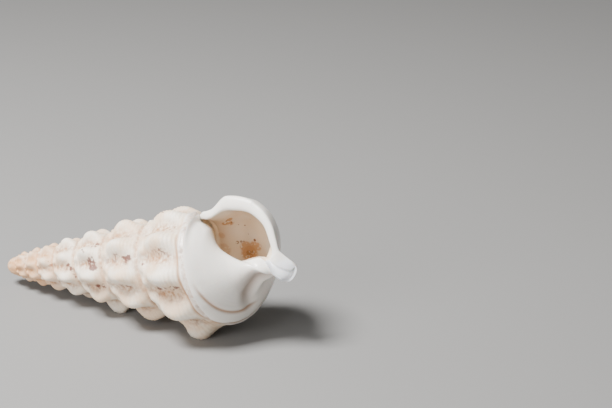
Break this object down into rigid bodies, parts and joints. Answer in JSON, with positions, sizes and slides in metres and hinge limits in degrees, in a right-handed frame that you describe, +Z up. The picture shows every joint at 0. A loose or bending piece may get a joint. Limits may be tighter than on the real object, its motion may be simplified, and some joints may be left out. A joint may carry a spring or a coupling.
{
  "type": "knobbed spiral seashell with a flared lip",
  "caption": "Long tapering spiral seashell with rows of blunt knobs, a smooth last half whorl, a thick flared lip and a short bent canal, lying on its side.",
  "frame": {"origin": "middle of the shell's box, on the surface it lies on", "axes": "+X from the tip of the spire towards the canal, +Z up, mouth facing -Y and up"},
  "size_m": [0.074, 0.0284, 0.0302],
  "materials": {
    "shell": "porous cream-white lime, porcelain-smooth on the lip and base, tan in the hollows"
  },
  "bodies": {
    "root": {"shell": "shell"}
  },
  "joints": []
}
